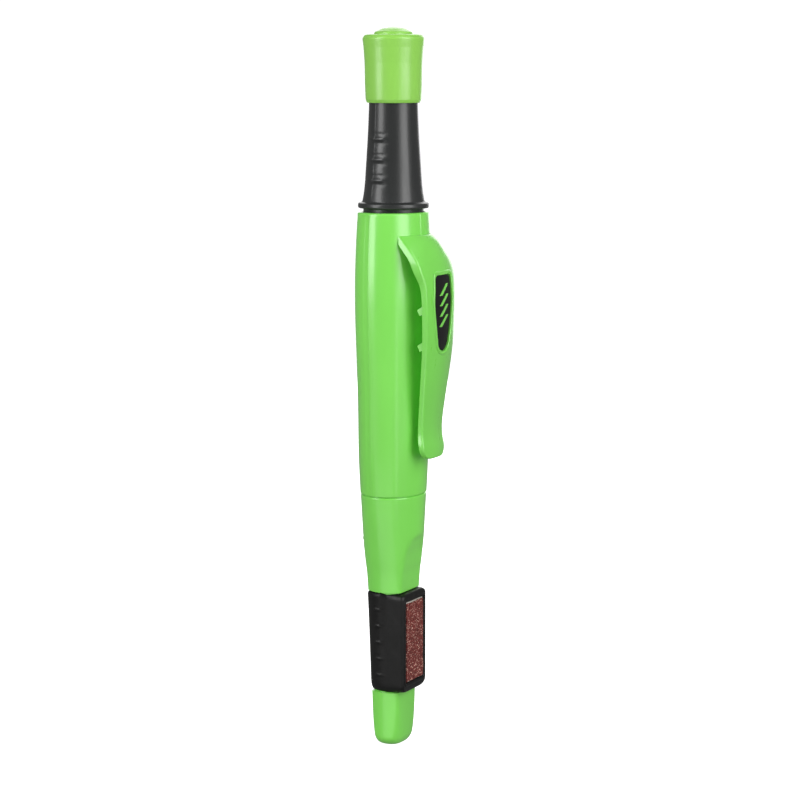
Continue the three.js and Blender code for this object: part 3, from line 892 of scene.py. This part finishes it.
def backdrop():
    """A white bowl with the holster's foot on its floor. It throws no light back and casts no shadow."""
    outline = [(0.001, 0), (1500, 0), (3200, 0), (3900, 120), (4300, 500), (4500, 1200), (4500, 5000)]
    bowl = turned("backdrop", outline, sides=96)
    shape = bmesh.new()
    shape.from_mesh(bowl.data)
    lid = [face for face in shape.faces if face.calc_center_median().z > 4.9]
    bmesh.ops.delete(shape, geom=lid, context="FACES_ONLY")
    shape.to_mesh(bowl.data)
    shape.free()
    shade_smooth(bowl)
    bowl.visible_diffuse = bowl.visible_glossy = bowl.visible_shadow = False
    white = Look(
        "backdrop_white", (0.8, 0.8, 0.8), 0.9,
        specular_ior_level=0.0, emission_color=(1, 1, 1, 1), emission_strength=0.9,
    )
    white.color(white.ramp(white.noise(2, 2), [(0.3, 0.78), (0.7, 0.82)]))
    bowl.data.materials.append(white.material)


def studio():
    """A dim surround, a key soft box on each side, a narrow one and a low fill in front, and one behind."""
    world = bpy.data.worlds.new("studio")
    bpy.context.scene.world = world
    world.use_nodes = True
    background = world.node_tree.nodes["Background"]
    background.inputs["Color"].default_value = (1, 1, 1, 1)
    background.inputs["Strength"].default_value = 0.22
    soft_box("left_box", azimuth=-60, width=0.26, low=0.05, height=0.9, strength=5.75)
    soft_box("right_box", azimuth=50, width=0.36, low=0.05, height=0.9, strength=4.7)
    soft_box("strip_box", azimuth=29, width=0.08, low=-0.15, height=1.1, strength=1.6)
    soft_box("back_box", azimuth=172, width=0.5, low=0.0, height=0.9, strength=1.8)
    soft_box("low_fill", azimuth=-20, width=0.9, low=-0.35, height=0.25, strength=0.9)


CAMERA_AZIMUTH = math.radians(28.5)
CAMERA_DISTANCE = 0.53
EYE_HEIGHT = 0.158
LOOK_HEIGHT = 0.0805
FRAMING_SHIFT = 0.00147
LIGHT_DISTANCE = 0.62


def horizontal(azimuth, distance):
    """A point at a distance from the axis, in the direction that the camera's azimuth gives."""
    return Vector((math.sin(azimuth), -math.cos(azimuth), 0)) * distance


def soft_box(name, azimuth, width, low, height, strength):
    """An upright soft box, at degrees to the right of the camera and a height above the floor."""
    light = bpy.data.lights.new(name, "AREA")
    light.shape = "RECTANGLE"
    light.size, light.size_y = width, height
    light.energy = strength * math.pi * width * height
    lamp = bpy.data.objects.new(name, light)
    bpy.context.scene.collection.objects.link(lamp)
    outwards = horizontal(CAMERA_AZIMUTH + math.radians(azimuth), LIGHT_DISTANCE)
    lamp.location = outwards + Vector((0, 0, low + height / 2))
    lamp.rotation_euler = (-outwards).to_track_quat("-Z", "Y").to_euler()


def camera():
    lens = bpy.data.cameras.new("camera")
    lens.sensor_width = 36
    lens.lens = 105.2
    eye = bpy.data.objects.new("camera", lens)
    bpy.context.scene.collection.objects.link(eye)
    bpy.context.scene.camera = eye
    across = Vector((math.cos(CAMERA_AZIMUTH), math.sin(CAMERA_AZIMUTH), 0)) * FRAMING_SHIFT
    eye.location = horizontal(CAMERA_AZIMUTH, CAMERA_DISTANCE) + Vector((0, 0, EYE_HEIGHT)) + across
    aim = Vector((0, 0, LOOK_HEIGHT)) + across - eye.location
    eye.rotation_euler = aim.to_track_quat("-Z", "Y").to_euler()


# Assembly

camera()
backdrop()
studio()
bpy.context.scene.view_settings.view_transform = "Standard"

piece(upper_shell(), "holster", "holster_green", holster_green, "holster_upper_shell")
piece(lower_shell(), "holster", "holster_green", holster_green, "holster_lower_shell")
piece(grip_sleeve(), "holster", "black_elastomer", black_elastomer, "grip_sleeve")
piece(strip_frame(), "holster", "black_elastomer", black_elastomer)
base = PLATE_FACE - STRIP_RECESS
piece(
    sheet("strip_backing", base + 0.05, base + 0.3, STRIP_HALF_WIDTH + 0.13,
          STRIP_BOTTOM - 0.2, STRIP_TOP + 0.2, step=0.3, roughness=0.03, ragged=0.2),
    "holster", "backing_paper", backing_paper, "abrasive_backing",
)
piece(
    sheet("strip_grit", base + 0.33, base + 0.66, STRIP_HALF_WIDTH,
          STRIP_BOTTOM - 0.1, STRIP_TOP + 0.1, step=0.13, roughness=0.1, ragged=0.4),
    "holster", "abrasive_grit", abrasive_grit, "abrasive_strip",
)

piece(pocket_clip(), "clip", "clip_green", clip_green, "pocket_clip")
piece(clip_badge(), "clip", "badge_black", badge_black, "clip_badge")
piece(badge_rim(), "clip", "clip_green", clip_green)
for number in range(4):
    piece(badge_bar(number), "clip", "clip_green", clip_green)

piece(barrel(), "pen", "barrel_grey", barrel_grey, "barrel")
piece(nose_section(), "pen", "nose_grey", nose_grey, "nose_section")
piece(push_button(), "button", "button_green", button_green, "push_button")
piece(flat_lead(), "lead", "graphite", lead_graphite, "flat_lead")
spring = piece(return_spring(), "pen", "spring_steel", spring_steel, "return_spring")
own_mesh(spring)

CARRIED_OVER = {
    "nose_tip": tip_steel,
    "lead_brake": brake_rubber,
    "clutch_sleeve": inner_white,
    "lower_guide_bush": inner_white,
    "upper_guide_bush": inner_white,
    "clutch_ring": clutch_brass,
    "chuck_body": clutch_brass,
    "chuck_jaw_right": clutch_brass,
    "chuck_jaw_left": clutch_brass,
    "lead_tube": inner_white,
    "spring_collar": inner_white,
}
for node, look in CARRIED_OVER.items():
    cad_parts[node].data.materials.clear()
    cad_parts[node].data.materials.append(look)
